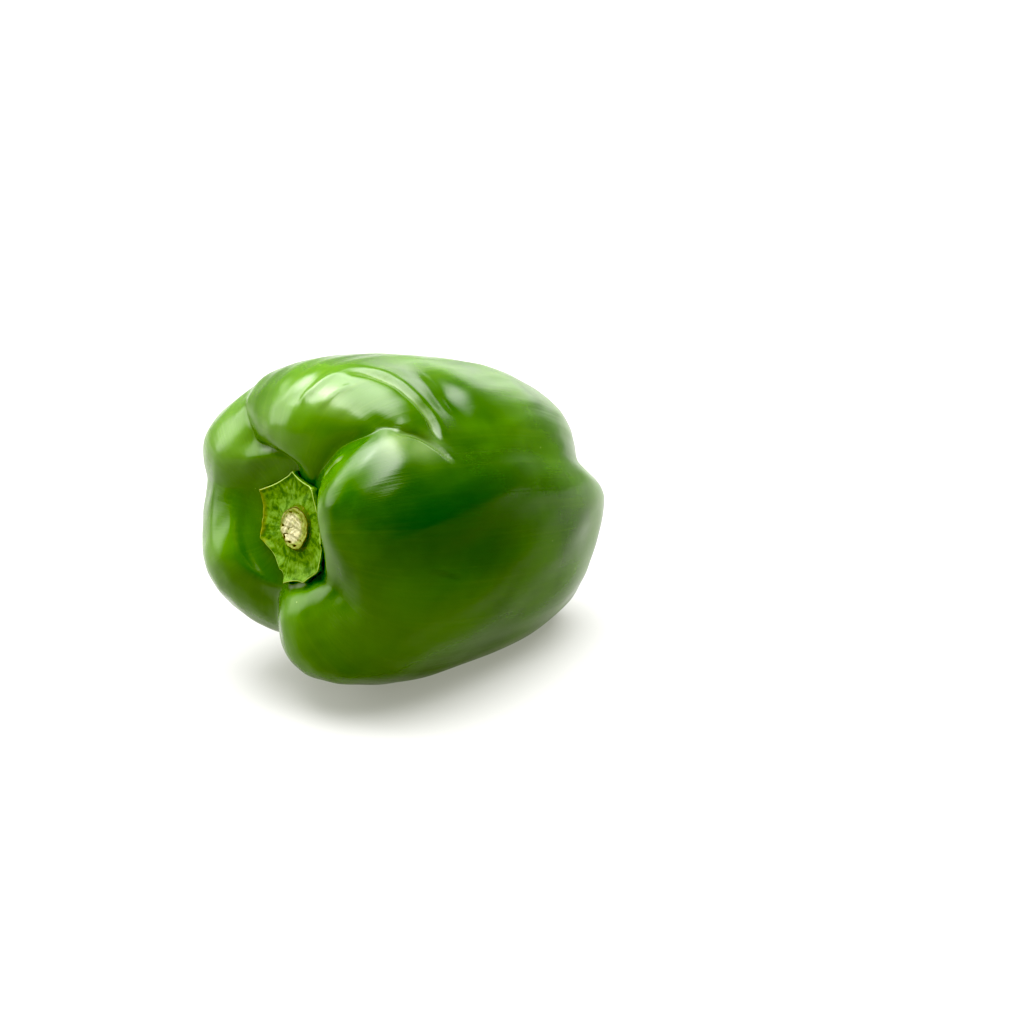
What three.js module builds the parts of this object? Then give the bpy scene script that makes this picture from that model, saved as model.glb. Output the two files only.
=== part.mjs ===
// A green bell pepper lying on its side, in millimetres, +Z up.
// Its axis runs from the stem, towards -X, to the blossom end, towards +X, and dips on the way.
// The origin is under the middle of the pepper, on the surface that it rests on.
// An angle round the axis is 0 towards -Y and 90 straight up, in degrees.
import * as THREE from 'three';

// Where the axis lies: its dip, its height at the shoulders, and the shoulders' place
const PITCH = 12;
const AXIS_HEIGHT = 49.4;
const SHOULDERS = { x: -52.3, y: -0.3 };

// The underside is pressed flat where it rests, with a soft edge this high
const FLAT_EDGE = 0.3;

// Outlines of a lobe's crest and of a furrow between lobes, from the stem's seat to the blossom end:
// distance from the axis, distance past the shoulders
const CREST = [
  [0, 6], [9, 5.5], [15, 4], [19, 1], [26, 0], [35, 4.5], [40.5, 15],
  [42, 34], [40, 58], [35.5, 82], [27, 102], [15, 108], [0, 98],
];
const FURROW = [
  [0, 6], [9, 6], [15, 6], [20, 6], [27, 8], [33.5, 13], [37, 22],
  [39, 38], [37.5, 59], [33, 81], [24.5, 95], [13, 99], [0, 98],
];

// Stations along an outline, as shares of the way to the blossom end
const FURROW_STATIONS = [0.17, 0.3, 0.42, 0.55, 0.72, 0.9];
const REACH_STATIONS = [0.33, 0.62, 0.9];

// The lobes in turn round the axis. Each starts at a furrow, whose angle and depth follow its stations.
// reach scales a lobe's distance from the axis, lift brings its shoulder forward past the stem,
// crest is the share across it where it is highest, and a smaller fullness makes it rounder.
const LOBES = Object.values({
  front: {
    columns: 22, reach: [0.95, 0.96, 0.95], lift: 4, crest: 0.6, fullness: 0.68,
    angles: [-42, -31, -30, -24, -20, -22], depths: [0.9, 0.5, 0.12, 0.06, 0.12, 0.5],
  },
  top: {
    columns: 20, reach: [1.03, 1.03, 1.08], lift: 0.5, crest: 0.6, fullness: 0.7,
    angles: [64, 62, 56, 44, 39, 40], depths: [0.7, 0.8, 0.85, 0.9, 0.8, 1],
  },
  upperBack: {
    columns: 12, reach: [1.06, 1.02, 0.95], lift: 0.5, crest: 0.55, fullness: 1,
    angles: [88, 124, 127, 131, 138, 145], depths: [0.4, 0.45, 0.28, 0.08, 0.05, 0.2],
  },
  back: {
    columns: 18, reach: [0.86, 0.96, 0.95], lift: 1.5, crest: 0.5, fullness: 1.15,
    angles: [155, 166, 172, 174, 175, 175], depths: [0.2, 0.25, 0.4, 0.6, 0.9, 1],
  },
  bottom: {
    columns: 20, reach: [0.95, 1.02, 1.09], lift: -1.5, crest: 0.45, fullness: 0.9,
    angles: [268, 258, 255, 254, 254, 254], depths: [0.9, 1.2, 1.2, 0.9, 0.8, 1],
  },
});
const FRUIT_ROWS = 52;

// How softly a furrow's bottom is rounded, and how much rounder a lobe's lift is than its arch
const FURROW_SOFTNESS = 0.12;
const LIFT_ROUNDNESS = 1.7;

// Along the body the lobes are flatter, as BODY_FULLNESS says, between the first pair of shares,
// and mostly round again past the second pair. Reach starts past the cap, and lift ends at the body.
const BODY_FULLNESS = 1.45;
const BODY_START = [0.45, 0.6];
const BODY_END = [0.72, 0.86];
const BODY_END_PART = 0.8;
const PAST_CAP = [0.1, 0.25];
const SHOULDER_END = [0.35, 0.6];

// Soft dents and swells of the wall: angle, place along the axis, half widths, height.
// They move it away from a spine inside the fruit, and fade out towards the stem's hollow.
const SWELLS = [
  { angle: 66, x: 37, degrees: 15, length: 8, height: -3 },
  { angle: 80, x: 66, degrees: 24, length: 20, height: 1 },
];
const SPINE = [25, 80];
const SWELL_FADE = [18, 26];

// The cap of leaf round the stem: its middle, off the axis, and its corners, as angle and distance
// from there
const CAP_MIDDLE = { y: -3, z: 0.8 };
const CAP_CORNERS = [
  [67, 11.7], [100, 14], [153, 14.8], [205, 12.8], [252, 12.3], [264, 14.9],
  [294, 14.1], [322, 13.7], [351, 11.5],
];
const CAP_EDGE_SAG = 0.5;
const CAP_EDGE_STEPS = 5;
const CAP_ROWS = 7;
const CAP_THICKNESS = 1.1;
const CAP_LEAST_THICKNESS = 0.7;
const CAP_TIP_RAISE = 0.5;
const CAP_TIP_START = 0.8;

// The cap is flat under the stem's foot, out to the first of these shares of the stem's half widths,
// and follows the fruit past the second
const CAP_HUB = [1.05, 1.9];

// The cut stem on the cap: its place beside the cap's middle, half widths at its foot, the share of
// them above the foot and at its cut, where the foot and the middle of the cut lie past the
// shoulders, the bevel of the cut's edge, how far the cut slants to each side, and the degrees that
// its oval leans
const STEM_SHIFT = -0.8;
const STEM_HALF = { y: 4.5, z: 5.6 };
const STEM_WAIST = 0.965;
const STEM_TOP = 0.88;
const STEM_FOOT = 3.4;
const STEM_CUT = 2.3;
const STEM_BEVEL = 0.25;
const STEM_SLANT = 0.55;
const STEM_LEAN = 12;
const STEM_COLUMNS = 28;

// Touching pieces keep this far apart
const GAP = 0.3;

// How often the search for the wall under a point near the stem halves its range
const SEAT_STEPS = 30;

const { sin, cos, min, max, hypot, atan2, PI } = Math;
const radians = THREE.MathUtils.degToRad;
const degrees = THREE.MathUtils.radToDeg;

// A step from 0 to 1 as a value goes from start to end, eased at both ends
function eased(start, end, value) {
  return THREE.MathUtils.smoothstep(value, start, end);
}

// A value that eases from each station's to the next
function between(stations, values, share) {
  let value = values[0];
  for (let i = 1; i < stations.length; i += 1) {
    value += (values[i] - values[i - 1]) * eased(stations[i - 1], stations[i], share);
  }
  return value;
}

// A point of an outline, on a smooth curve through its points
function along(outline, share) {
  const last = outline.length - 1;
  const start = min(Math.floor(share * last), last - 1);
  const t = share * last - start;
  const point = (i) => outline[THREE.MathUtils.clamp(i, 0, last)];
  return [0, 1].map((axis) => {
    const [before, from, to, after] = [-1, 0, 1, 2].map((step) => point(start + step)[axis]);
    const leaving = (to - before) / 2;
    const arriving = (after - from) / 2;
    return (
      (2 * from - 2 * to + leaving + arriving) * t ** 3 +
      (3 * to - 3 * from - 2 * leaving - arriving) * t ** 2 + leaving * t + from
    );
  });
}

// The furrow that starts a lobe, counted on past the last lobe and back past the first
function furrowAt(index, share) {
  const lobe = LOBES[(index + LOBES.length) % LOBES.length];
  const turns = Math.floor(index / LOBES.length);
  return {
    angle: between(FURROW_STATIONS, lobe.angles, share) + 360 * turns,
    depth: between(FURROW_STATIONS, lobe.depths, share),
    reach: between(REACH_STATIONS, lobe.reach, share),
  };
}

// How far the wall reaches out at an angle, eased between the middles of the lobes
function reachAt(index, across, share) {
  const [before, here, after, beyond] = [-1, 0, 1, 2].map((step) => furrowAt(index + step, share));
  const middle = (here.angle + after.angle) / 2;
  const angle = here.angle + across * (after.angle - here.angle);
  if (angle < middle) {
    const previous = (before.angle + here.angle) / 2;
    return here.reach + (before.reach - here.reach) * (1 - eased(previous, middle, angle));
  }
  const next = (after.angle + beyond.angle) / 2;
  return here.reach + (after.reach - here.reach) * eased(middle, next, angle);
}

// The soft dents and swells at a place on the wall
function swellAt(angle, x) {
  let height = 0;
  for (const swell of SWELLS) {
    const turned = THREE.MathUtils.euclideanModulo(angle - swell.angle + 180, 360) - 180;
    height += swell.height * Math.exp(-((turned / swell.degrees) ** 2) - ((x - swell.x) / swell.length) ** 2);
  }
  return height;
}

// A point of the fruit's wall: lobe, share across it and share along it to the blossom end.
// It is given as angle, distance from the axis and distance past the shoulders.
function wall(index, across, share) {
  const lobe = LOBES[index];
  const start = furrowAt(index, share);
  const end = furrowAt(index + 1, share);
  const skewed = across < lobe.crest
    ? across / (2 * lobe.crest)
    : 0.5 + (across - lobe.crest) / (2 * (1 - lobe.crest));
  const body = eased(...BODY_START, share) - BODY_END_PART * eased(...BODY_END, share);
  const rise = hypot(sin(PI * skewed), FURROW_SOFTNESS) - FURROW_SOFTNESS;
  const fullRise = hypot(1, FURROW_SOFTNESS) - FURROW_SOFTNESS;
  const arch = (rise / fullRise) ** (lobe.fullness + (BODY_FULLNESS - lobe.fullness) * body);
  const depth = start.depth + (end.depth - start.depth) * eased(0, 1, across);
  const crest = along(CREST, share);
  const furrow = along(FURROW, share);
  const sunk = (1 - arch) * depth;
  const pastCap = eased(...PAST_CAP, share);
  const shoulder = pastCap * (1 - eased(...SHOULDER_END, share));
  const angle = start.angle + across * (end.angle - start.angle);
  const stretch = 1 + (reachAt(index, across, share) - 1) * pastCap;
  const radius = (crest[0] + (furrow[0] - crest[0]) * sunk) * stretch;
  const x = crest[1] + (furrow[1] - crest[1]) * sunk - lobe.lift * arch ** LIFT_ROUNDNESS * shoulder;
  return swollen(angle, radius, x);
}

// The wall moved by its dents and swells, away from a spine inside the fruit
function swollen(angle, radius, x) {
  const spine = THREE.MathUtils.clamp(x, ...SPINE);
  const height = swellAt(angle, x) * eased(...SWELL_FADE, radius);
  const away = max(hypot(radius, x - spine), 1);
  return {
    angle,
    radius: radius + (height * radius) / away,
    x: x + (height * (x - spine)) / away,
  };
}

// A place in the fruit's own frame, moved to where the pepper lies
function lying(y, z, x) {
  const tilt = radians(PITCH);
  return new THREE.Vector3(
    x * cos(tilt) + z * sin(tilt) + SHOULDERS.x,
    y + SHOULDERS.y,
    -x * sin(tilt) + z * cos(tilt) + AXIS_HEIGHT,
  );
}

// The same, from an angle and a distance round the axis
function lyingRound({ angle, radius, x }) {
  return lying(-radius * cos(radians(angle)), radius * sin(radians(angle)), x);
}

// A height above the surface that it rests on, pressed flat where it would sink in
function pressed(height) {
  if (height > FLAT_EDGE) return height;
  if (height < -FLAT_EDGE) return 0;
  return (height + FLAT_EDGE) ** 2 / (4 * FLAT_EDGE);
}

// The lobe that holds an angle near the stem, and the share across it
function lobeAround(angle, share) {
  for (let index = 0; index < LOBES.length; index += 1) {
    const from = furrowAt(index, share).angle;
    const span = furrowAt(index + 1, share).angle - from;
    const turned = THREE.MathUtils.euclideanModulo(angle - from, 360);
    if (turned < span) return { index, across: turned / span };
  }
  return { index: 0, across: 0 };
}

// How far past the shoulders the wall lies under a point near the stem
function seatUnder(y, z) {
  const angle = degrees(atan2(z, -y));
  const radius = hypot(y, z);
  let low = 0;
  let high = PAST_CAP[1];
  for (let step = 0; step < SEAT_STEPS; step += 1) {
    const share = (low + high) / 2;
    const { index, across } = lobeAround(angle, share);
    if (wall(index, across, share).radius < radius) low = share;
    else high = share;
  }
  const { index, across } = lobeAround(angle, low);
  return wall(index, across, low).x;
}

// A closed body of rings between two end points
function ringBody(rings) {
  const positions = [];
  const indices = [];
  const starts = [];
  for (const ring of rings) {
    starts.push(positions.length / 3);
    for (const point of ring) positions.push(point.x, point.y, point.z);
  }
  for (let row = 1; row < rings.length; row += 1) {
    const count = max(rings[row - 1].length, rings[row].length);
    for (let column = 0; column < count; column += 1) {
      const next = (column + 1) % count;
      const at = (ring, place) => starts[ring] + (rings[ring].length === 1 ? 0 : place);
      if (rings[row].length > 1) indices.push(at(row - 1, column), at(row, column), at(row, next));
      if (rings[row - 1].length > 1) indices.push(at(row - 1, column), at(row, next), at(row - 1, next));
    }
  }
  const geometry = new THREE.BufferGeometry();
  geometry.setAttribute('position', new THREE.Float32BufferAttribute(positions, 3));
  geometry.setIndex(indices);
  geometry.computeVertexNormals();
  return geometry;
}

function named(name, geometry, color, roughness) {
  const material = new THREE.MeshStandardMaterial({ color, roughness, metalness: 0 });
  const mesh = new THREE.Mesh(geometry, material);
  mesh.name = name;
  return mesh;
}

// The fruit: one solid, whose columns follow the furrows
function fruitRing(share) {
  const ring = [];
  LOBES.forEach((lobe, index) => {
    for (let column = 0; column < lobe.columns; column += 1) {
      const across = (1 - cos((PI * column) / lobe.columns)) / 2;
      const point = lyingRound(wall(index, across, share));
      point.z = pressed(point.z);
      ring.push(point);
    }
  });
  return ring;
}

function fruit() {
  const rings = [];
  for (let row = 0; row <= FRUIT_ROWS; row += 1) {
    const ring = fruitRing(row / FRUIT_ROWS);
    rings.push(row === 0 || row === FRUIT_ROWS ? [ring[0]] : ring);
  }
  return named('fruit', ringBody(rings), 0x4c7d0a, 0.25);
}

// The cap's outline, in steps from corner to corner, its edges drawn in a little
function capOutline() {
  const outline = [];
  CAP_CORNERS.forEach(([angle, distance], corner) => {
    const [nextAngle, nextDistance] = CAP_CORNERS[(corner + 1) % CAP_CORNERS.length];
    const from = [-distance * cos(radians(angle)), distance * sin(radians(angle))];
    const to = [-nextDistance * cos(radians(nextAngle)), nextDistance * sin(radians(nextAngle))];
    for (let step = 0; step < CAP_EDGE_STEPS; step += 1) {
      const t = step / CAP_EDGE_STEPS;
      const y = from[0] + (to[0] - from[0]) * t;
      const z = from[1] + (to[1] - from[1]) * t;
      const drawnIn = 1 - (CAP_EDGE_SAG * 4 * t * (1 - t)) / hypot(y, z);
      outline.push({ y: y * drawnIn, z: z * drawnIn, cornerness: (1 - 2 * min(t, 1 - t)) ** 2 });
    }
  });
  return outline;
}

// The cap's upper face: flat under the stem's foot, then following the fruit out to raised tips
function capFace(y, z, share, cornerness) {
  const seat = seatUnder(CAP_MIDDLE.y + y, CAP_MIDDLE.z + z) - GAP;
  const rim = seat - CAP_THICKNESS - CAP_TIP_RAISE * cornerness * eased(CAP_TIP_START, 1, share);
  const hub = STEM_FOOT + GAP;
  const outward = eased(...CAP_HUB, hypot((y - STEM_SHIFT) / STEM_HALF.y, z / STEM_HALF.z));
  return min(hub + (rim - hub) * outward, seat - CAP_LEAST_THICKNESS);
}

function capRing(share, upper) {
  return capOutline().map((corner) => {
    const y = corner.y * share;
    const z = corner.z * share;
    const under = seatUnder(CAP_MIDDLE.y + y, CAP_MIDDLE.z + z) - GAP;
    const x = upper ? capFace(y, z, share, corner.cornerness) : under;
    return lying(CAP_MIDDLE.y + y, CAP_MIDDLE.z + z, x);
  });
}

function calyx() {
  const rings = [[lying(CAP_MIDDLE.y, CAP_MIDDLE.z, STEM_FOOT + GAP)]];
  for (let row = 1; row <= CAP_ROWS; row += 1) rings.push(capRing(row / CAP_ROWS, true));
  for (let row = CAP_ROWS; row > 0; row -= 1) rings.push(capRing(row / CAP_ROWS, false));
  const under = seatUnder(CAP_MIDDLE.y, CAP_MIDDLE.z) - GAP;
  rings.push([lying(CAP_MIDDLE.y, CAP_MIDDLE.z, under)]);
  return named('calyx', ringBody(rings), 0x5a8a22, 0.6);
}

// The stem: a low oval stub, a little wider at its foot and cut across
function stemRing(width, x) {
  const ring = [];
  const lean = radians(STEM_LEAN);
  const slanted = STEM_SLANT * ((STEM_FOOT - x) / (STEM_FOOT - STEM_CUT));
  for (let column = 0; column < STEM_COLUMNS; column += 1) {
    const turn = (-2 * PI * column) / STEM_COLUMNS;
    const across = width * STEM_HALF.y * cos(turn);
    const up = width * STEM_HALF.z * sin(turn);
    const y = CAP_MIDDLE.y + STEM_SHIFT + across * cos(lean) + up * sin(lean);
    const z = CAP_MIDDLE.z + up * cos(lean) - across * sin(lean);
    ring.push(lying(y, z, x - slanted * width * cos(turn)));
  }
  return ring;
}

function stem() {
  const middle = (x) => [lying(CAP_MIDDLE.y + STEM_SHIFT, CAP_MIDDLE.z, x)];
  const waist = (STEM_FOOT + STEM_CUT) / 2;
  const rings = [
    middle(STEM_CUT),
    stemRing(STEM_TOP, STEM_CUT),
    stemRing(STEM_WAIST, STEM_CUT + STEM_BEVEL),
    stemRing(STEM_WAIST, waist),
    stemRing(1, STEM_FOOT),
    middle(STEM_FOOT),
  ];
  return named('stem', ringBody(rings), 0xc4c479, 0.8);
}

const group = new THREE.Group();
group.add(fruit(), calyx(), stem());

export default group;
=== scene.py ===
"""A green bell pepper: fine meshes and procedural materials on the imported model.

The formula of the wall is worked in millimetres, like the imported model's source, and the
meshes are made in metres. An angle round the axis is 0 towards -Y and 90 straight up.
"""
import math

import bpy
import numpy as np
from mathutils import Matrix, Vector


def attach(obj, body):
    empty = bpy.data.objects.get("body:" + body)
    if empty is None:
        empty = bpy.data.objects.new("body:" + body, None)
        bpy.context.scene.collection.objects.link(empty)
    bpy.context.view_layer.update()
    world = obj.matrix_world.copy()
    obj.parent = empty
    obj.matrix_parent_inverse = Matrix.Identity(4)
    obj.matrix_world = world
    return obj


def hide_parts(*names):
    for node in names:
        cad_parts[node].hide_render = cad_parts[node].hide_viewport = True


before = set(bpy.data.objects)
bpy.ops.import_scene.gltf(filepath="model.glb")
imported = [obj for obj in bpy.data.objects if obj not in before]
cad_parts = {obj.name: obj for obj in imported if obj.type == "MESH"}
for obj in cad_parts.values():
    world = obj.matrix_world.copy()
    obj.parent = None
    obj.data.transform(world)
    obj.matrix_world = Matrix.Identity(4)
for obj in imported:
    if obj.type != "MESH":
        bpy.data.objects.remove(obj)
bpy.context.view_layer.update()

MM = 0.001
SEED = 7
TINY = 1e-9

# Where the axis lies: its dip, its height at the shoulders, and the shoulders' place
PITCH = 12
AXIS_HEIGHT = 49.4
SHOULDERS = (-52.3, -0.3)
FLAT_EDGE = 0.3

# Outlines of a lobe's crest and of a furrow: distance from the axis, distance past the shoulders
CREST = (
    (0, 6), (9, 5.5), (15, 4), (19, 1), (26, 0), (35, 4.5), (40.5, 15),
    (42, 34), (40, 58), (35.5, 82), (27, 102), (15, 108), (0, 98),
)
FURROW = (
    (0, 6), (9, 6), (15, 6), (20, 6), (27, 8), (33.5, 13), (37, 22),
    (39, 38), (37.5, 59), (33, 81), (24.5, 95), (13, 99), (0, 98),
)
FURROW_STATIONS = (0.17, 0.3, 0.42, 0.55, 0.72, 0.9)
REACH_STATIONS = (0.33, 0.62, 0.9)

# The lobes in turn, each from the furrow that it starts at
LOBES = (
    # front
    dict(columns=100, reach=(0.95, 0.96, 0.95), lift=4, crest=0.6, fullness=0.68,
         angles=(-42, -31, -30, -24, -20, -22), depths=(0.9, 0.5, 0.12, 0.06, 0.12, 0.5)),
    # top
    dict(columns=100, reach=(1.03, 1.03, 1.08), lift=0.5, crest=0.6, fullness=0.7,
         angles=(64, 62, 56, 44, 39, 40), depths=(0.7, 0.8, 0.85, 0.9, 0.8, 1)),
    # upper back
    dict(columns=56, reach=(1.06, 1.02, 0.95), lift=0.5, crest=0.55, fullness=1.0,
         angles=(88, 124, 127, 131, 138, 145), depths=(0.4, 0.45, 0.28, 0.08, 0.05, 0.2)),
    # back
    dict(columns=84, reach=(0.86, 0.96, 0.95), lift=1.5, crest=0.5, fullness=1.15,
         angles=(155, 166, 172, 174, 175, 175), depths=(0.2, 0.25, 0.4, 0.6, 0.9, 1)),
    # bottom
    dict(columns=90, reach=(0.95, 1.02, 1.09), lift=-1.5, crest=0.45, fullness=0.9,
         angles=(268, 258, 255, 254, 254, 254), depths=(0.9, 1.2, 1.2, 0.9, 0.8, 1)),
)
FRUIT_ROWS = 224
OUTLINE_STEPS = 2000
FURROW_SOFTNESS = 0.12
LIFT_ROUNDNESS = 1.7
BODY_FULLNESS = 1.45
BODY_START = (0.45, 0.6)
BODY_END = (0.72, 0.86)
BODY_END_PART = 0.8
PAST_CAP = (0.1, 0.25)
SHOULDER_END = (0.35, 0.6)

# Soft dents and swells: angle, place along the axis, half widths in degrees and along, height
SWELLS = (
    dict(angle=66, x=37, degrees=15, length=8, height=-3),
    dict(angle=80, x=66, degrees=24, length=20, height=1),
)
SPINE = (25, 80)
SWELL_FADE = (18, 26)

# Low waves of the skin as height, length and stretch along X, and the shares where they start and end
SKIN_WAVES = ((0.25, 17, 3.0), (0.08, 6, 4.0))
WAVES_START = (0.16, 0.26)
WAVES_END = (0.93, 0.99)

# Folds of the skin, as paths of (angle, share along the wall): a ridge of that height and half
# width, with a painted highlight along it as strong as line says, and a groove beside it, that far
# to its left as the path runs.
# A ridge below 0 is a crease, and its groove below 0 is a swell.
FOLDS = (
    dict(path=((83, 0.475), (79, 0.503), (74, 0.52), (69, 0.528),
               (63, 0.532), (56, 0.535), (49, 0.53), (44, 0.522)),
         ridge=1.2, width=1.25, line=0.4, groove=0.2, groove_width=2.0, offset=-3.2),
    dict(path=((79, 0.59), (72, 0.595), (64, 0.588), (56, 0.581)),
         ridge=-0.2, width=1.0, line=0, groove=-0.12, groove_width=1.8, offset=2.5),
    dict(path=((86, 0.37), (87, 0.395), (86, 0.42), (85, 0.45), (84, 0.48)),
         ridge=-0.5, width=0.7, line=0, groove=-0.35, groove_width=2.0, offset=-2.4),
    dict(path=((78, 0.38), (78, 0.41), (77, 0.44), (75, 0.47)),
         ridge=-0.35, width=0.9, line=0, groove=-0.25, groove_width=2.0, offset=-2.6),
    dict(path=((54, 0.445), (51, 0.461), (50, 0.477), (47, 0.5),
               (42, 0.521), (38, 0.534), (34, 0.545)),
         ridge=0.5, width=0.9, line=0.35, groove=0.2, groove_width=1.6, offset=-2.2),
    dict(path=((54, 0.235), (55, 0.265), (55, 0.294), (54, 0.32), (52, 0.345)),
         ridge=0.4, width=0.55, line=0.45, groove=0.15, groove_width=0.8, offset=-1.3),
    dict(path=((-3, 0.505), (-4.5, 0.52), (-5.5, 0.535), (-7, 0.55)),
         ridge=-0.25, width=0.5, line=0, groove=-0.18, groove_width=0.7, offset=1.1),
)
FOLD_STEPS = 60
FOLD_FADE_IN = (0, 0.25)
FOLD_FADE_OUT = (0.8, 1)

# Soft patches of painted shade, paler skin with painted light, wrinkled skin, dull skin and
# painted highlights: angle, share, half widths of both, strength
# Painted shade: darker patches on the front lobe, at the top lobe's far end, beside the cap and on the
# bottom lobe
PAINTED_SHADE_PATCHES = (
    (16, 0.55, 36, 0.2, 0.95), (62, 0.61, 15, 0.08, 0.7),
    (222, 0.21, 22, 0.05, 0.3), (-50, 0.62, 36, 0.2, 0.4),
)
# Paler patches, partly the skin's own tone and partly painted light; the narrow band near the cap at 15
# degrees is a painted highlight
PALE_AND_LIT_PATCHES = (
    (262, 0.4, 50, 0.16, 0.35), (318, 0.42, 26, 0.12, 0.3), (205, 0.38, 34, 0.12, 0.4),
    (138, 0.33, 24, 0.12, 0.7), (98, 0.3, 26, 0.12, 0.6), (15, 0.258, 42, 0.03, 0.6),
)
WRINKLED_PATCHES = (
    (322, 0.37, 18, 0.07, 1.0), (140, 0.35, 18, 0.08, 0.3), (160, 0.33, 14, 0.08, 0.4),
)
DULL_PATCHES = (
    (222, 0.2, 30, 0.06, 1.0), (-30, 0.31, 8, 0.07, 0.6), (60, 0.575, 9, 0.05, 0.6),
    (35, 0.38, 9, 0.045, 0.95), (-75, 0.6, 40, 0.3, 0.75), (-5, 0.62, 36, 0.2, 0.7),
    (-55, 0.42, 26, 0.14, 0.5),
)
# Painted highlights on the top of the front lobe and on the top lobe
PAINTED_HIGHLIGHT_PATCHES = (
    (47, 0.455, 7, 0.03, 0.5), (43, 0.5, 6, 0.03, 0.4), (76, 0.405, 12, 0.03, 0.35),
)
# How much of the painted shade in the furrows fades out on the body
FURROW_SHADE_LOST_ON_BODY = 0.7

# The cap of leaf: its middle off the axis, its corners as angle and distance from there
CAP_MIDDLE = (-3, 0.8)
STEM_SHIFT = -0.8
CAP_CORNERS = (
    (67, 11.7), (100, 14), (153, 14.8), (205, 12.8), (252, 12.3),
    (264, 14.9), (294, 14.1), (322, 13.7), (351, 11.5),
)
CAP_EDGE_SAG = 0.5
CAP_EDGE_STEPS = 26
CAP_ROWS = 60
CAP_LOWER_ROWS = 20
CAP_ROW_SPACING = 0.9
CAP_THICKNESS = 1.1
CAP_LEAST_THICKNESS = 0.7
CAP_UNDERSIDE = 0.05
CAP_TIP_RAISE = 0.5
CAP_TIP_START = 0.8
CAP_HUB = (1.05, 1.9)
CAP_WAVES = ((0.09, 2.6, 1.0), (0.12, 6, 1.0))

# The ribs to the cap's corners, and its thin raised edge, by shares of the way out
RIB_HEIGHT = 0.22
RIB_NARROWNESS = 6
RIB_END = (0.85, 1)
EDGE_HEIGHT = 0.3
EDGE_START = (0.9, 0.98)
EDGE_TOP = (0.985, 1)
EDGE_FALL = 0.5
BROWN_TIP = (0.9, 1)

# The cut stem: half widths, where its foot and the middle of its cut lie past the shoulders, how
# far the cut slants to each side, and the degrees that its oval leans
STEM_HALF = (4.5, 5.6)
STEM_FOOT = 3.4
STEM_CUT = 2.3
STEM_SLANT = 0.55
STEM_LEAN = 12
STEM_DEPTH = 1.5
STEM_COLUMNS = 160
STEM_ROWS = 110
STEM_WAVES = ((0.1, 2.2, 1.0), (0.07, 0.9, 1.0))

# From the middle of the cut over its edge to the foot: share of the half widths, depth, and
# whether it is the cut's face
STEM_PROFILE = (
    (0.0, 0.22, 1), (0.3, 0.2, 1), (0.55, 0.14, 1), (0.76, 0.04, 1), (0.87, 0.0, 1),
    (0.93, 0.1, 0.6), (0.965, 0.3, 0), (0.965, 0.6, 0), (0.975, 0.9, 0), (1.0, 1.2, 0),
    (1.03, 1.42, 0), (0.6, STEM_DEPTH, 0), (0.0, STEM_DEPTH, 0),
)
BROWN_EDGE = (0.93, 0.045)

# How the stem's oval is uneven: height, count round it and start of each wave
OVAL_WAVES = ((0.03, 3, 0.6), (0.015, 7, 2))

# Pits in the cut: place across and up it as shares of its half widths, half widths, strength
PITS = (
    (-0.8, 0.14, 0.08, 0.09, 1.0), (-0.62, -0.25, 0.2, 0.05, 0.7), (-0.36, -0.62, 0.17, 0.06, 0.9),
    (-0.02, -0.78, 0.15, 0.06, 1.0), (-0.72, -0.42, 0.06, 0.14, 0.8), (-0.5, 0.55, 0.05, 0.13, 0.6),
    (0.3, 0.66, 0.12, 0.05, 0.6), (-0.42, -0.12, 0.045, 0.16, 0.55), (-0.25, 0.02, 0.15, 0.04, 0.5),
    (0.56, 0.36, 0.05, 0.14, 0.5), (-0.2, 0.72, 0.13, 0.05, 0.6), (0.42, -0.5, 0.05, 0.16, 0.45),
)
PIT_DEPTH = 0.35
RING_MIDDLE = (-0.16, 0.0, 0.0)
GAP = 0.3
SEAT_STEPS = 26

# Colours of the skin
DEEP_GREEN = (0.02, 0.064, 0.0004)
LEAF_GREEN = (0.049, 0.124, 0.001)
YELLOW_GREEN = (0.14, 0.21, 0.003)
# The colour of painted shade
PAINTED_SHADE_GREEN = (0.004, 0.029, 0.0003)
# Paler tone, partly painted light
PALE_AND_LIT_GREEN = (0.098, 0.18, 0.035)
# The colour of painted highlights
PAINTED_HIGHLIGHT_GREEN = (0.16, 0.22, 0.09)
SPECK = (0.24, 0.32, 0.08)

# Colours of the cap of leaf
CAP_GREEN = (0.095, 0.172, 0.024)
CAP_DARK = (0.036, 0.085, 0.011)
CAP_LIGHT = (0.18, 0.26, 0.085)
CAP_RIM = (0.25, 0.33, 0.1)
CAP_RUST = (0.22, 0.13, 0.008)

# Colours of the cut stem
CUT_PALE = (0.16, 0.19, 0.045)
CUT_CREAM = (0.37, 0.35, 0.21)
CUT_TAN = (0.17, 0.12, 0.03)
CUT_BROWN = (0.03, 0.014, 0.004)
STEM_OLIVE = (0.05, 0.085, 0.006)

# Patterns, by how many fit in a metre, or round and along the fruit or the leaf
CLOUDS = 45
STREAKS = (26, 26, 3.5)
FINE_STREAKS = (110, 110, 9)
WRINKLES = (42, 42, 6)
DIMPLES = 260
SMUDGES = 90
SPECK_CELLS = 280.0
BLOTCHES = 640
VEINS = (9, 9, 3)
FLECKS = 1300
FIBRES = 900
STEM_PATCHES = 330
GRAINS = 1500
WAVERING = (1.3, 1.3, 1.3)
RINGS = 24.0

# Relief, as strength and depth in metres
SKIN_RELIEF = (0.16, 0.0005)
WRINKLE_RELIEF = (0.35, 0.0006)
DIMPLE_RELIEF = (0.08, 0.0003)
MOTTLE_RELIEF = (0.4, 0.0006)
FLECK_RELIEF = (0.3, 0.0002)
FIBRE_RELIEF = (0.6, 0.0004)
RING_RELIEF = (0.35, 0.0002)

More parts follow.
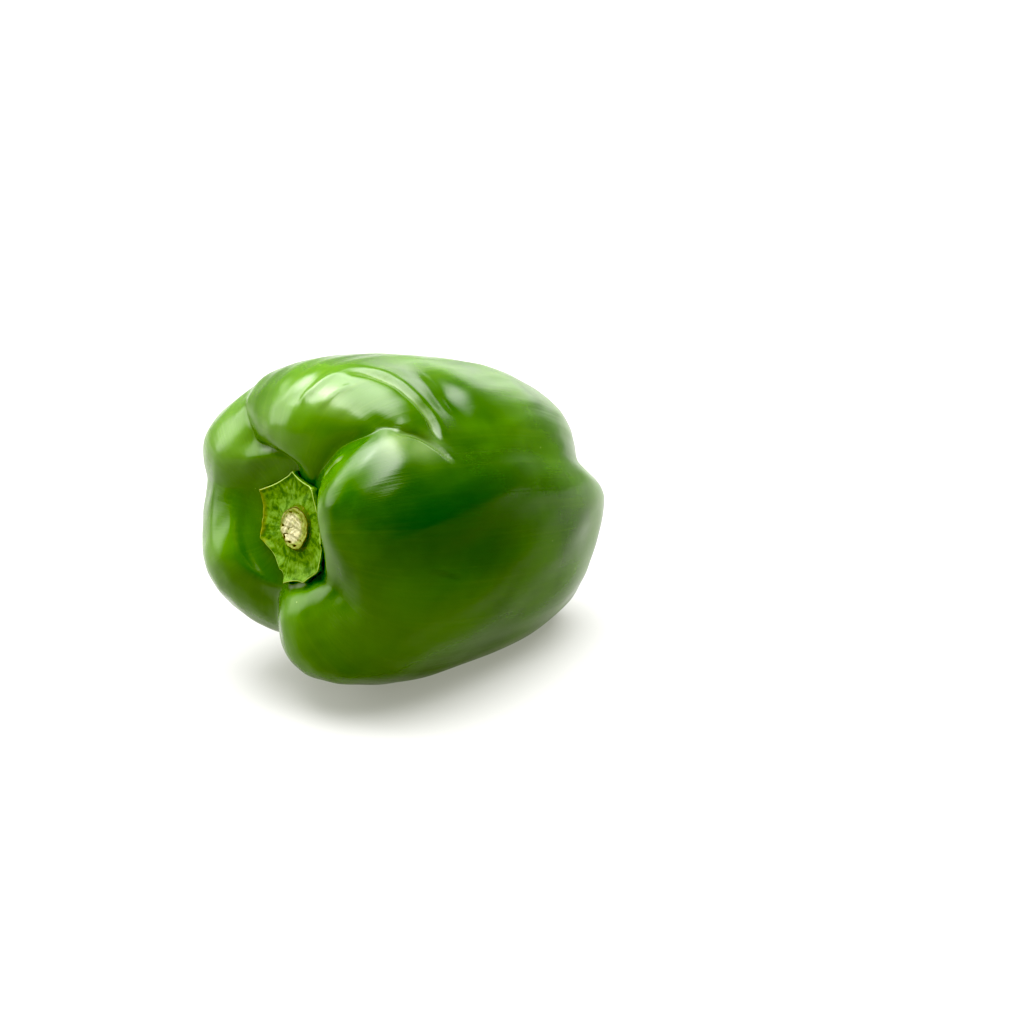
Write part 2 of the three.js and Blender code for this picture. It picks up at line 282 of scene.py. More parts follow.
# Wax on the skin: how it bends light, its shine where it is clean and dull, its roughness
SKIN_IOR = 1.45
SKIN_SHINE = (0.5, 0.1)
SKIN_ROUGHNESS = (0.2, 0.26)

# The camera: the photo's angle, and where the middle of the cap falls in its 1024 pixel frame
CAMERA_AZIMUTH = -50
CAMERA_ELEVATION = 20
LENS = 80
SENSOR = 36
FRAME_PIXELS = 1024
CAP_PIXEL = (293, 527)
PIXELS_PER_MM = 4.0

# The light: the room's own, and windows as direction, angles where each fades out and is full, glow
ROOM_STRENGTH = 0.63
WINDOWS = (
    ((0.07, -0.05, 1.0), 42, 27, 8.8),
    ((-0.12, 0.55, 0.82), 24, 12, 6.2),
    ((-0.55, 0.72, 0.42), 27, 12, 3.6),
    ((0.9, 0.38, 0.26), 17, 8, 1.3),
)
BLACK_LEVEL = (0.032, 0.025, 0.052)

# The floor
FLOOR_PALE = (0.24, 0.24, 0.235)
FLOOR_GLOW = (0.28, 0.28, 0.26)
FLOOR_REACH = 6.0


def eased(start, end, value):
    """A step from 0 to 1 as value goes from start to end, eased at both ends."""
    t = np.clip((np.asarray(value, float) - start) / (end - start), 0, 1)
    return t * t * (3 - 2 * t)


def between(stations, values, share):
    """A value that eases from each station's to the next."""
    value = np.full_like(share, values[0], dtype=float)
    for i in range(1, len(stations)):
        value += (values[i] - values[i - 1]) * eased(stations[i - 1], stations[i], share)
    return value


def along(points, share):
    """Points on a smooth curve through the given ones, at shares of the way along it."""
    points = np.array(points, float)
    last = len(points) - 1
    place = np.clip(share, 0, 1) * last
    start = np.minimum(place.astype(int), last - 1)
    t = (place - start)[..., None]
    before, here, there, after = (points[np.clip(start + step, 0, last)] for step in (-1, 0, 1, 2))
    leaving = (there - before) / 2
    arriving = (after - here) / 2
    cubic = 2 * here - 2 * there + leaving + arriving
    square = 3 * there - 3 * here - 2 * leaving - arriving
    return cubic * t**3 + square * t**2 + leaving * t + here


def turned_from(start, angle):
    """Degrees from one angle to others, from -180 to 180."""
    return (angle - start + 180) % 360 - 180


def furrow_at(index, share):
    """Angle, depth and reach at the furrow that starts a lobe, counted on past the last lobe."""
    lobe = LOBES[index % len(LOBES)]
    angle = between(FURROW_STATIONS, lobe["angles"], share) + 360 * (index // len(LOBES))
    depth = between(FURROW_STATIONS, lobe["depths"], share)
    reach = between(REACH_STATIONS, lobe["reach"], share)
    return angle, depth, reach


def reach_at(index, angle, share):
    """How far the wall reaches out at an angle, eased between the middles of the lobes."""
    before, here, after, beyond = (furrow_at(index + step, share) for step in (-1, 0, 1, 2))
    middle = (here[0] + after[0]) / 2
    previous = (before[0] + here[0]) / 2
    following = (after[0] + beyond[0]) / 2
    back = here[2] + (before[2] - here[2]) * (1 - eased(previous, middle, angle))
    on = here[2] + (after[2] - here[2]) * eased(middle, following, angle)
    return np.where(angle < middle, back, on)


def wall(index, across, share):
    """Angle, distance from the axis, distance past the shoulders and arch of points of the wall."""
    lobe = LOBES[index]
    start = furrow_at(index, share)
    end = furrow_at(index + 1, share)
    crest_place = lobe["crest"]
    skewed = np.where(
        across < crest_place,
        across / (2 * crest_place),
        0.5 + (across - crest_place) / (2 * (1 - crest_place)),
    )
    body = eased(*BODY_START, share) - BODY_END_PART * eased(*BODY_END, share)
    fullness = lobe["fullness"] + (BODY_FULLNESS - lobe["fullness"]) * body
    rise = np.hypot(np.sin(np.pi * skewed), FURROW_SOFTNESS) - FURROW_SOFTNESS
    arch = (rise / (math.hypot(1, FURROW_SOFTNESS) - FURROW_SOFTNESS)) ** fullness
    depth = start[1] + (end[1] - start[1]) * eased(0, 1, across)
    sunk = ((1 - arch) * depth)[..., None]
    outline = along(CREST, share) * (1 - sunk) + along(FURROW, share) * sunk
    past_cap = eased(*PAST_CAP, share)
    angle = start[0] + across * (end[0] - start[0])
    radius = outline[..., 0] * (1 + (reach_at(index, angle, share) - 1) * past_cap)
    lifted = arch**LIFT_ROUNDNESS * past_cap * (1 - eased(*SHOULDER_END, share))
    x = outline[..., 1] - lobe["lift"] * lifted
    return (*swollen(angle, radius, x), arch)


def swollen(angle, radius, x):
    """The wall moved by its dents and swells, away from a spine inside the fruit."""
    height = np.zeros_like(radius)
    for swell in SWELLS:
        turned = turned_from(swell["angle"], angle) / swell["degrees"]
        height += swell["height"] * np.exp(-(turned**2) - ((x - swell["x"]) / swell["length"]) ** 2)
    height *= eased(*SWELL_FADE, radius)
    spine = np.clip(x, *SPINE)
    away = np.maximum(np.hypot(radius, x - spine), 1)
    return angle, radius * (1 + height / away), x + height * (x - spine) / away


def lying(y, z, x):
    """Places in the fruit's own frame, moved to where the pepper lies, in millimetres."""
    tilt = math.radians(PITCH)
    return np.stack(
        [
            x * math.cos(tilt) + z * math.sin(tilt) + SHOULDERS[0],
            y + SHOULDERS[1] + 0 * x,
            z * math.cos(tilt) - x * math.sin(tilt) + AXIS_HEIGHT,
        ],
        axis=-1,
    )


def lying_round(angle, radius, x):
    """The same, from an angle and a distance round the axis."""
    turn = np.radians(angle)
    return lying(-radius * np.cos(turn), radius * np.sin(turn), x)


def slid(distance):
    """How distances along the axis move points where the pepper lies."""
    still = np.zeros(distance.shape)
    return lying(still, still, distance) - lying(still, still, still)


def pressed(points):
    """Points with their heights pressed flat where the pepper rests."""
    height = points[..., 2]
    edge = (np.clip(height, -FLAT_EDGE, FLAT_EDGE) + FLAT_EDGE) ** 2 / (4 * FLAT_EDGE)
    points[..., 2] = np.where(height > FLAT_EDGE, height, edge)
    return points


def lobe_around(angle, share):
    """Which lobe holds each angle, and the share across it."""
    index = np.zeros(angle.shape, int)
    across = np.zeros(angle.shape)
    for i in range(len(LOBES)):
        start = furrow_at(i, share)[0]
        span = furrow_at(i + 1, share)[0] - start
        turned = (angle - start) % 360
        inside = turned < span
        index = np.where(inside, i, index)
        across = np.where(inside, turned / span, across)
    return index, across


def wall_at(angle, share):
    """Angle, radius, x and arch of the wall at an angle and a share along it."""
    index, across = lobe_around(angle, share)
    out = [np.zeros(angle.shape) for _ in range(4)]
    for i in range(len(LOBES)):
        for kept, found in zip(out, wall(i, across, share)):
            kept[index == i] = found[index == i]
    return out


def seat_under(y, z):
    """How far past the shoulders the wall lies under points near the stem."""
    angle = np.degrees(np.arctan2(z, -y))
    radius = np.hypot(y, z)
    low = np.zeros(angle.shape)
    high = np.full(angle.shape, PAST_CAP[1])
    for _ in range(SEAT_STEPS):
        share = (low + high) / 2
        short = wall_at(angle, share)[1] < radius
        low = np.where(short, share, low)
        high = np.where(short, high, share)
    return wall_at(angle, low)[2]


def normals_of(grid):
    """Outward normals of a grid of points whose columns close on themselves."""
    across = np.roll(grid, -1, axis=1) - np.roll(grid, 1, axis=1)
    down = np.gradient(grid, axis=0)
    normal = np.cross(across, down)
    return normal / np.maximum(np.linalg.norm(normal, axis=-1, keepdims=True), TINY)


def waves(points, rng, length, stretch, count=9):
    """Soft noise from -1 to 1: sine waves of about one length, longer along X by stretch."""
    total = np.zeros(points.shape[:-1])
    for _ in range(count):
        direction = rng.normal(size=3)
        direction /= np.linalg.norm(direction)
        direction[0] /= stretch
        pace = 2 * np.pi / (length * rng.uniform(0.7, 1.4))
        total += np.sin(points @ direction * pace + rng.uniform(0, 2 * np.pi))
    return total / math.sqrt(count)


def rippled(grid, seed, sets):
    """The height of sets of waves, each given by its height, length and stretch along X."""
    rng = np.random.default_rng(seed)
    return sum(height * waves(grid, rng, length, stretch) for height, length, stretch in sets)


def folded(grid, normal, fold):
    """Height, and the painted highlight along its ridge, that a fold adds to each point of the wall's grid.
    """
    path = along(fold["path"], np.linspace(0, 1, FOLD_STEPS))
    line = lying_round(*wall_at(path[:, 0], path[:, 1])[:3])
    near = np.full(grid.shape[:-1], np.inf)
    side = np.zeros(grid.shape[:-1])
    place = np.zeros(grid.shape[:-1])
    for i in range(len(line) - 1):
        step = line[i + 1] - line[i]
        t = np.clip((grid - line[i]) @ step / (step @ step), 0, 1)
        gap = grid - line[i] - t[..., None] * step
        distance = np.linalg.norm(gap, axis=-1)
        closer = distance < near
        near = np.where(closer, distance, near)
        left = np.sum(gap * np.cross(normal, step), axis=-1)
        side = np.where(closer, np.sign(left), side)
        place = np.where(closer, (i + t) / (len(line) - 1), place)
    fade = eased(*FOLD_FADE_IN, place) * (1 - eased(*FOLD_FADE_OUT, place))
    signed = near * side
    ridge = np.exp(-((signed / fold["width"]) ** 2)) * fade
    groove = np.exp(-(((signed - fold["offset"]) / fold["groove_width"]) ** 2)) * fade
    return fold["ridge"] * ridge - fold["groove"] * groove, fold["line"] * ridge


def fruit_grid():
    """Angle, radius, x, arch and share of the fruit's points, row by row from the stem's seat."""
    steps = np.linspace(0, 1, OUTLINE_STEPS)
    outline = along(CREST, steps)
    length = np.concatenate([[0], np.cumsum(np.linalg.norm(np.diff(outline, axis=0), axis=1))])
    mixed = (length / length[-1] + steps) / 2
    share = np.interp(np.linspace(0, 1, FRUIT_ROWS), mixed, steps)
    columns = []
    for index, lobe in enumerate(LOBES):
        across = (1 - np.cos(np.pi * np.arange(lobe["columns"]) / lobe["columns"])) / 2
        a, s = np.broadcast_arrays(across[None, :], share[:, None])
        columns.append(np.stack([*wall(index, a, s), s]))
    return np.concatenate(columns, axis=2)


def ring_faces(rows, columns):
    """Faces between rings of points, and to one point before the first and one past the last."""
    column = np.arange(columns)
    following = (column + 1) % columns
    faces = []
    for row in range(rows - 1):
        here = row * columns
        there = here + columns
        quads = (here + column, there + column, there + following, here + following)
        faces += np.stack(quads, axis=1).tolist()
    first = rows * columns
    last = first + 1
    faces += [[first, int(a), int(b)] for a, b in zip(column, following)]
    end = (rows - 1) * columns
    faces += [[last, int(end + b), int(end + a)] for a, b in zip(column, following)]
    return faces


def with_ends(values):
    """Values on a grid as one list: the rows between its ends, then the mean of each end row."""
    middle = values[1:-1].reshape(-1, *values.shape[2:])
    return np.concatenate([middle, values[0].mean(0)[None], values[-1].mean(0)[None]])


def ring_mesh(name, grid, attributes):
    """A closed mesh of a grid's rings, its first and last row drawn together to one point each."""
    rows, columns = grid.shape[:2]
    mesh = bpy.data.meshes.new(name)
    mesh.from_pydata((with_ends(grid) * MM).tolist(), [], ring_faces(rows - 2, columns))
    for key, values in attributes.items():
        data = with_ends(np.asarray(values, float)).astype(np.float32)
        if data.ndim == 2:
            layer = mesh.attributes.new(key, "FLOAT_VECTOR", "POINT")
            layer.data.foreach_set("vector", data.ravel())
        else:
            layer = mesh.attributes.new(key, "FLOAT", "POINT")
            layer.data.foreach_set("value", data)
    mesh.shade_smooth()
    mesh.update()
    piece = bpy.data.objects.new(name, mesh)
    bpy.context.scene.collection.objects.link(piece)
    return piece


def stands_for(piece, node, material):
    """The piece rides on the body, replaces its solid and takes the given material."""
    piece.data.materials.append(material)
    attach(piece, "root")
    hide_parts(node)


# Materials


class Nodes:
    """Short ways to add and join shader nodes."""

    def __init__(self, name):
        self.material = bpy.data.materials.new(name)
        self.material.use_nodes = True
        self.tree = self.material.node_tree
        self.surface = self.tree.nodes["Principled BSDF"]

    def add(self, kind, inputs=(), **settings):
        node = self.tree.nodes.new("ShaderNode" + kind)
        for key, value in settings.items():
            setattr(node, key, value)
        for key, value in dict(inputs).items():
            self.put(node.inputs[key], value)
        return node

    def put(self, socket, value):
        if isinstance(value, bpy.types.NodeSocket):
            self.tree.links.new(value, socket)
        elif hasattr(socket.default_value, "__len__") and len(socket.default_value) == 4 and len(value) == 3:
            socket.default_value = (*value, 1)
        else:
            socket.default_value = value

    def attribute(self, name, output="Fac"):
        return self.add("Attribute", attribute_name=name).outputs[output]

    def math(self, operation, a, b=0.0):
        return self.add("Math", {0: a, 1: b}, operation=operation).outputs[0]

    def plus(self, a, b):
        return self.math("ADD", a, b)

    def times(self, a, b):
        return self.math("MULTIPLY", a, b)

    def swing(self, value, amount):
        """A pattern from 0 to 1, drawn out by amount round 0."""
        return self.times(self.math("SUBTRACT", value, 0.5), amount)

    def noise(self, vector, scale, detail=2.0, roughness=0.5, distortion=0.0):
        inputs = {"Vector": vector, "Scale": scale, "Detail": detail, "Roughness": roughness,
                  "Distortion": distortion}
        return self.add("TexNoise", inputs).outputs["Fac"]

    def stretch(self, vector, scale):
        return self.add("Mapping", {"Vector": vector, "Scale": scale}).outputs["Vector"]

    def span(self, value, low, high, to_low=0.0, to_high=1.0):
        """An eased step from to_low to to_high, as the value goes from low to high."""
        inputs = {"Value": value, "From Min": low, "From Max": high, "To Min": to_low, "To Max": to_high}
        return self.add("MapRange", inputs, interpolation_type="SMOOTHSTEP").outputs["Result"]

    def mix(self, share, a, b):
        """Two colours mixed, by the node's own places for colours."""
        node = self.add("Mix", {"Factor": share}, data_type="RGBA")
        self.put(node.inputs[6], a)
        self.put(node.inputs[7], b)
        return node.outputs[2]

    def bump(self, height, strength, distance, normal=None):
        inputs = {"Height": height, "Strength": strength, "Distance": distance}
        if normal is not None:
            inputs["Normal"] = normal
        return self.add("Bump", inputs).outputs["Normal"]

    def finish(self, **sockets):
        for key, value in sockets.items():
            self.put(self.surface.inputs[key.replace("_", " ")], value)
        return self.material


def speck_share(n, place):
    """Small dots, one in each of a few cells of the skin."""
    cells = n.add("TexVoronoi", {"Vector": place, "Scale": SPECK_CELLS, "Randomness": 1.0})
    chosen = n.span(n.add("SeparateColor", {0: cells.outputs["Color"]}).outputs[0], 0.9, 0.93)
    dots = n.times(n.span(cells.outputs["Distance"], 0.07, 0.04), chosen)
    return n.times(dots, 0.6)


def skin_material():
    """Waxy skin: green in soft clouds, fine lengthwise streaks, a few pale specks, painted shade in the
    furrows and patches, paler patches with painted light, and painted highlights.
    """
    n = Nodes("waxy skin")
    place = n.add("TexCoord").outputs["Object"]
    lie = n.attribute("lie", "Vector")
    clouds = n.noise(place, CLOUDS, 3, 0.55)
    streaks = n.noise(n.stretch(lie, STREAKS), 1.0, 3, 0.6)
    fine_streaks = n.noise(n.stretch(lie, FINE_STREAKS), 1.0, 2, 0.6)
    wrinkles = n.noise(n.stretch(lie, WRINKLES), 1.0, 2, 0.5)
    color = n.mix(n.span(clouds, 0.3, 0.7), DEEP_GREEN, LEAF_GREEN)
    color = n.mix(n.span(streaks, 0.45, 0.8, 0, 0.12), color, YELLOW_GREEN)
    color = n.mix(n.span(fine_streaks, 0.5, 0.75, 0, 0.03), color, YELLOW_GREEN)
    # Painted shade: darker towards deep green down in the furrows
    color = n.mix(n.times(n.attribute("furrow_shade"), 0.55), color, DEEP_GREEN)
    # Painted shade in patches
    color = n.mix(n.attribute("dark"), color, PAINTED_SHADE_GREEN)
    # Paler skin, partly its own tone and partly painted light and highlight
    color = n.mix(n.attribute("pale"), color, PALE_AND_LIT_GREEN)
    # Painted highlights along the folds' ridges and in patches
    color = n.mix(n.attribute("line"), color, PAINTED_HIGHLIGHT_GREEN)
    color = n.mix(speck_share(n, place), color, SPECK)
    relief = n.plus(n.times(fine_streaks, 0.25), n.times(streaks, 0.6))
    normal = n.bump(relief, *SKIN_RELIEF)
    normal = n.bump(n.times(wrinkles, n.attribute("wrinkled")), *WRINKLE_RELIEF, normal)
    normal = n.bump(n.noise(place, DIMPLES, 3, 0.6), *DIMPLE_RELIEF, normal)
    return n.finish(
        Base_Color=color,
        Roughness=n.span(n.noise(place, SMUDGES, 4, 0.6), 0.3, 0.7, *SKIN_ROUGHNESS),
        Normal=normal,
        IOR=SKIN_IOR,
        Specular_IOR_Level=n.span(n.attribute("dull"), 0, 1, *SKIN_SHINE),
        Subsurface_Weight=0.12,
        Subsurface_Radius=(0.6, 1.0, 0.1),
        Subsurface_Scale=0.003,
    )


def cap_material():
    """Leafy cap: green with fine mottling that runs outward, and a thin paler edge."""
    n = Nodes("calyx leaf")
    place = n.add("TexCoord").outputs["Object"]
    leaf = n.attribute("leaf", "Vector")
    outward = n.add("SeparateXYZ", {0: leaf}).outputs
    rim = n.attribute("rim")
    blotches = n.noise(place, BLOTCHES, 3, 0.6, 0.3)
    veins = n.noise(n.stretch(leaf, VEINS), 1.0, 3, 0.6, 0.4)
    flecks = n.noise(place, FLECKS, 3, 0.7)
    mottle = n.plus(n.times(blotches, 0.6), n.times(veins, 0.4))
    color = n.mix(n.span(mottle, 0.4, 0.56), CAP_DARK, CAP_GREEN)
    color = n.mix(n.span(mottle, 0.56, 0.7, 0, 0.6), color, CAP_LIGHT)
    color = n.mix(n.span(flecks, 0.6, 0.75, 0, 0.4), color, CAP_LIGHT)
    far_side = n.span(n.plus(outward[0], n.times(blotches, 0.6)), 1.05, 1.3)
    color = n.mix(n.times(far_side, n.span(rim, 0.86, 0.98, 0, 0.3)), color, CAP_RUST)
    edge_color = n.mix(n.times(far_side, 0.7), CAP_RIM, CAP_RUST)
    color = n.mix(n.span(rim, 0.972, 0.99), color, edge_color)
    color = n.mix(n.span(n.attribute("tip"), 0.75, 0.92, 0, 0.8), color, CUT_BROWN)
    normal = n.bump(mottle, *MOTTLE_RELIEF)
    normal = n.bump(flecks, *FLECK_RELIEF, normal)
    return n.finish(Base_Color=color, Roughness=0.5, Normal=normal, Specular_IOR_Level=0.15)


def stem_material():
    """Cut stem: a cream middle in a greener ring, brown pits and edge, an olive side."""
    n = Nodes("cut stem")
    place = n.add("TexCoord").outputs["Object"]
    face_place = n.attribute("face", "Vector")
    fibres = n.noise(place, FIBRES, 4, 0.7, 0.8)
    patches = n.noise(place, STEM_PATCHES, 2, 0.5)
    grains = n.noise(place, GRAINS, 2, 0.5)
    wavering = n.noise(n.stretch(face_place, WAVERING), 1.0, 2, 0.5)
    ring_place = n.add("VectorMath", {0: face_place, 1: RING_MIDDLE}, operation="SUBTRACT").outputs[0]
    far_out = n.add("VectorMath", {0: ring_place}, operation="LENGTH").outputs["Value"]
    rings = n.math("SINE", n.times(n.plus(far_out, wavering), RINGS))
    face = n.mix(n.span(far_out, 0.5, 0.78), CUT_CREAM, CUT_PALE)
    face = n.mix(n.span(patches, 0.5, 0.66, 0, 0.5), face, CUT_PALE)
    face = n.mix(n.span(rings, 0.55, 1.0, 0, 0.3), face, CUT_TAN)
    face = n.mix(n.span(fibres, 0.56, 0.7, 0, 0.5), face, CUT_CREAM)
    face = n.mix(n.span(grains, 0.6, 0.72, 0, 0.8), face, CUT_TAN)
    side = n.mix(n.span(fibres, 0.5, 0.7), STEM_OLIVE, CUT_TAN)
    color = n.mix(n.attribute("cut"), side, face)
    browned = n.plus(n.attribute("pit"), n.swing(grains, 1.4))
    color = n.mix(n.span(browned, 0.35, 0.65), color, CUT_BROWN)
    ragged = n.plus(n.attribute("edge"), n.swing(fibres, 0.9))
    color = n.mix(n.span(ragged, 0.6, 0.95, 0, 0.85), color, CUT_BROWN)
    normal = n.bump(fibres, *FIBRE_RELIEF)
    normal = n.bump(rings, *RING_RELIEF, normal)
    return n.finish(Base_Color=color, Roughness=0.75, Normal=normal, Specular_IOR_Level=0.25)


# Pieces


def patch_weight(angle, share, patches):
    """How strongly the patches colour each point."""
    weight = np.zeros(angle.shape)
    for patch_angle, patch_share, degrees, length, strength in patches:
        fall = (turned_from(patch_angle, angle) / degrees) ** 2 + ((share - patch_share) / length) ** 2
        weight = np.maximum(weight, strength * np.exp(-fall))
    return weight


def fruit_piece():
    """The whole fruit, with its folds and soft waves."""
    angle, radius, x, arch, share = fruit_grid()
    grid = lying_round(angle, radius, x)
    normal = normals_of(grid)
    height = rippled(grid, SEED, SKIN_WAVES)
    height *= eased(*WAVES_START, share) * (1 - eased(*WAVES_END, share))
    # Painted highlights: in patches, and along the ridges of the folds
    line = patch_weight(angle, share, PAINTED_HIGHLIGHT_PATCHES)
    for fold in FOLDS:
        raised, painted_highlight_line = folded(grid, normal, fold)
        height += raised
        line = np.maximum(line, painted_highlight_line)
    turn = np.radians(angle)
    attributes = dict(
        lie=np.stack([np.cos(turn), np.sin(turn), share], axis=-1),
        # Painted shade in the furrows
        furrow_shade=(1 - arch) * (1 - FURROW_SHADE_LOST_ON_BODY * eased(*BODY_START, share)),
        # Painted shade in patches
        dark=patch_weight(angle, share, PAINTED_SHADE_PATCHES),
        # Paler tone, partly painted light and highlight
        pale=patch_weight(angle, share, PALE_AND_LIT_PATCHES),
        # Painted highlights
        line=line,
        wrinkled=patch_weight(angle, share, WRINKLED_PATCHES),
        dull=patch_weight(angle, share, DULL_PATCHES),
    )
    piece = ring_mesh("fruit_skin", pressed(grid + height[..., None] * normal), attributes)
    stands_for(piece, "fruit", skin_material())


def cap_outline():
    """The cap's outline from its middle, corner to corner, with how near a corner each point is."""
    outline = []
    for corner, (angle, distance) in enumerate(CAP_CORNERS):
        following = CAP_CORNERS[(corner + 1) % len(CAP_CORNERS)]
        ends = [
            (-d * math.cos(math.radians(a)), d * math.sin(math.radians(a)))
            for a, d in ((angle, distance), following)
        ]
        for step in range(CAP_EDGE_STEPS):
            t = step / CAP_EDGE_STEPS
            y = ends[0][0] + (ends[1][0] - ends[0][0]) * t
            z = ends[0][1] + (ends[1][1] - ends[0][1]) * t
            drawn_in = 1 - CAP_EDGE_SAG * 4 * t * (1 - t) / math.hypot(y, z)
            outline.append((y * drawn_in, z * drawn_in, (1 - 2 * min(t, 1 - t)) ** 2))
    return np.array(outline)


def cap_face(share, corner, seat, outward):
    """How far past the shoulders the cap's face lies: low at the stem, ribbed, its edge raised."""
    rim = seat - GAP - CAP_THICKNESS - CAP_TIP_RAISE * corner * eased(CAP_TIP_START, 1, share)
    hub = STEM_FOOT + GAP
    face = np.minimum(hub + (rim - hub) * outward, seat - GAP - CAP_LEAST_THICKNESS)
    rib = np.exp(-(((1 - np.sqrt(corner)) * share * RIB_NARROWNESS) ** 2))
    face = face - RIB_HEIGHT * rib * outward * (1 - eased(*RIB_END, share))
    return face - EDGE_HEIGHT * eased(*EDGE_START, share) * (1 - EDGE_FALL * eased(*EDGE_TOP, share))


def cap_piece():
    """The cap of leaf: ribs to its corners, a thin raised edge, mottled between."""
    outline = cap_outline()
    upper = np.linspace(0, 1, CAP_ROWS) ** CAP_ROW_SPACING
    lower = np.linspace(1, 0, CAP_LOWER_ROWS)
    share = np.concatenate([upper, lower])[:, None]
    is_upper = np.concatenate([np.ones(len(upper)), np.zeros(len(lower))])[:, None]
    y = outline[None, :, 0] * share
    z = outline[None, :, 1] * share
    corner = outline[None, :, 2]
    seat = seat_under(CAP_MIDDLE[0] + y, CAP_MIDDLE[1] + z)
    outward = eased(*CAP_HUB, np.hypot((y - STEM_SHIFT) / STEM_HALF[0], z / STEM_HALF[1]))
    x = np.where(is_upper > 0, cap_face(share, corner, seat, outward), seat - CAP_UNDERSIDE)
    grid = lying(CAP_MIDDLE[0] + y, CAP_MIDDLE[1] + z, x)
    bumps = rippled(grid, SEED + 1, CAP_WAVES)
    rim = np.broadcast_to(share * is_upper, seat.shape)
    away = np.hypot(y, z) / CAP_CORNERS[0][1]
    turn = np.broadcast_to(np.arctan2(outline[None, :, 1], outline[None, :, 0]), seat.shape)
    leaf = np.stack([np.cos(turn) * (away > 0), np.sin(turn) * (away > 0), away], axis=-1)
    tip = rim * np.broadcast_to(corner, seat.shape) ** 4 * eased(*BROWN_TIP, share)
    points = grid + slid(-bumps * is_upper * outward)
    piece = ring_mesh("calyx_leaf", points, dict(rim=rim, leaf=leaf, tip=tip))
    stands_for(piece, "calyx", cap_material())


def stem_piece():
    """The cut stem: a low, uneven oval stub with a slanted, pitted cut."""
    rows = along(STEM_PROFILE, np.linspace(0, 1, STEM_ROWS))
    width = rows[:, 0][:, None]
    depth = rows[:, 1][:, None]
    turn = -2 * np.pi * np.arange(STEM_COLUMNS) / STEM_COLUMNS
    oval = 1 + sum(height * np.sin(count * turn + start) for height, count, start in OVAL_WAVES)
    across = width * np.cos(turn) * oval
    up = width * np.sin(turn) * oval
    cut = np.clip(rows[:, 2], 0, 1)[:, None] * np.ones_like(up)
    lean = math.radians(STEM_LEAN)
    y = STEM_HALF[0] * across * math.cos(lean) + STEM_HALF[1] * up * math.sin(lean)
    z = STEM_HALF[1] * up * math.cos(lean) - STEM_HALF[0] * across * math.sin(lean)
    slant = -STEM_SLANT * across * (1 - depth / STEM_DEPTH)
    grid = lying(CAP_MIDDLE[0] + STEM_SHIFT + y, CAP_MIDDLE[1] + z, STEM_CUT + depth + slant)
    rough = rippled(grid, SEED + 2, STEM_WAVES)
    pit = np.zeros(y.shape)
    for pit_across, pit_up, pit_width, pit_height, strength in PITS:
        gap = ((-across - pit_across) / pit_width) ** 2 + ((up - pit_up) / pit_height) ** 2
        pit = np.maximum(pit, strength * np.exp(-gap))
    edge_place, edge_width = BROWN_EDGE
    edge = np.exp(-(((width - edge_place) / edge_width) ** 2)) * np.ones_like(y)
    face = np.stack([-across, up, np.zeros_like(up)], axis=-1)
    points = grid + slid((rough + PIT_DEPTH * pit) * cut)
    piece = ring_mesh("stem_stub", points, dict(cut=cut, edge=edge, pit=pit, face=face))
    stands_for(piece, "stem", stem_material())


# Stage


def camera_axes():
    """The camera's backward, right and up directions."""
    azimuth = math.radians(CAMERA_AZIMUTH)
    elevation = math.radians(CAMERA_ELEVATION)
    back = Vector((
        math.sin(azimuth) * math.cos(elevation),
        -math.cos(azimuth) * math.cos(elevation),
        math.sin(elevation),
    ))
    right = Vector((math.cos(azimuth), math.sin(azimuth), 0))
    return back, right, back.cross(right)


def set_camera():
    """Puts the camera where the middle of the cap falls on its pixel at its scale."""
    back, right, up = camera_axes()
    focal_pixels = LENS / SENSOR * FRAME_PIXELS
    middle = Vector(lying(0.0, 0.0, np.float64(CREST[0][1]))) * MM
    distance = focal_pixels / PIXELS_PER_MM * MM
    across = (CAP_PIXEL[0] - FRAME_PIXELS / 2) / focal_pixels
    down = (CAP_PIXEL[1] - FRAME_PIXELS / 2) / focal_pixels
    data = bpy.data.cameras.new("camera")
    data.lens = LENS
    data.sensor_width = SENSOR
    camera = bpy.data.objects.new("camera", data)
    camera.location = middle + distance * (back - across * right + down * up)
    camera.rotation_euler = Matrix((right, up, back)).transposed().to_euler()
    bpy.context.scene.collection.objects.link(camera)
    bpy.context.scene.camera = camera


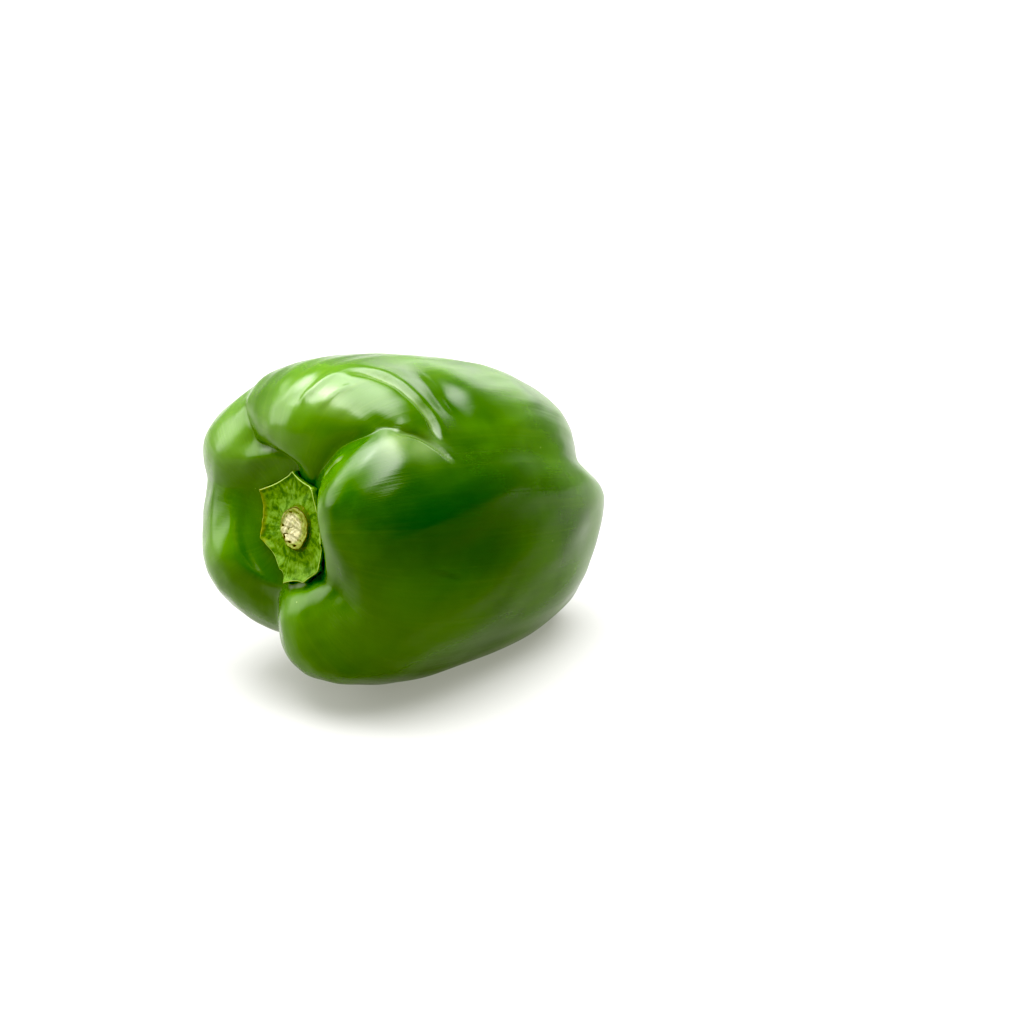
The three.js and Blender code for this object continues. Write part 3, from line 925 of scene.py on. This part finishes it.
def window_light(tree, direction, toward, edge, core, glow):
    """How strongly one window glows in each direction."""
    facing = tree.nodes.new("ShaderNodeVectorMath")
    facing.operation = "DOT_PRODUCT"
    facing.inputs[1].default_value = Vector(toward).normalized()
    tree.links.new(direction, facing.inputs[0])
    window = tree.nodes.new("ShaderNodeMapRange")
    window.interpolation_type = "SMOOTHSTEP"
    tree.links.new(facing.outputs["Value"], window.inputs["Value"])
    window.inputs["From Min"].default_value = math.cos(math.radians(edge))
    window.inputs["From Max"].default_value = math.cos(math.radians(core))
    window.inputs["To Max"].default_value = glow
    return window.outputs["Result"]


def set_light():
    """Soft light from windows overhead, on the left and low behind, in a dim pale room."""
    world = bpy.data.worlds.new("studio")
    world.use_nodes = True
    tree = world.node_tree
    direction = tree.nodes.new("ShaderNodeTexCoord").outputs["Generated"]
    strength = None
    for window in WINDOWS:
        total = tree.nodes.new("ShaderNodeMath")
        tree.links.new(window_light(tree, direction, *window), total.inputs[0])
        if strength is None:
            total.inputs[1].default_value = ROOM_STRENGTH
        else:
            tree.links.new(strength, total.inputs[1])
        strength = total.outputs[0]
    background = tree.nodes["Background"]
    tree.links.new(strength, background.inputs["Strength"])
    background.inputs["Color"].default_value = (1, 1, 1, 1)
    bpy.context.scene.world = world


def set_floor():
    """A plain pale floor that glows a little itself, so that the shadow on it stays soft."""
    material = Nodes("pale floor").finish(
        Base_Color=FLOOR_PALE,
        Roughness=0.7,
        Specular_IOR_Level=0.1,
        Emission_Color=FLOOR_GLOW,
        Emission_Strength=1.0,
    )
    mesh = bpy.data.meshes.new("floor")
    corners = [(x * FLOOR_REACH, y * FLOOR_REACH, 0) for x, y in ((-1, -1), (1, -1), (1, 1), (-1, 1))]
    mesh.from_pydata(corners, [], [(0, 1, 2, 3)])
    mesh.materials.append(material)
    floor = bpy.data.objects.new("floor", mesh)
    bpy.context.scene.collection.objects.link(floor)


def set_exposure():
    """Plain tones, a little contrast, and darks that go down to black."""
    view = bpy.context.scene.view_settings
    view.view_transform = "Standard"
    view.look = "Medium High Contrast"
    view.use_curve_mapping = True
    view.curve_mapping.black_level = BLACK_LEVEL
    view.curve_mapping.update()


fruit_piece()
cap_piece()
stem_piece()
set_camera()
set_light()
set_floor()
set_exposure()
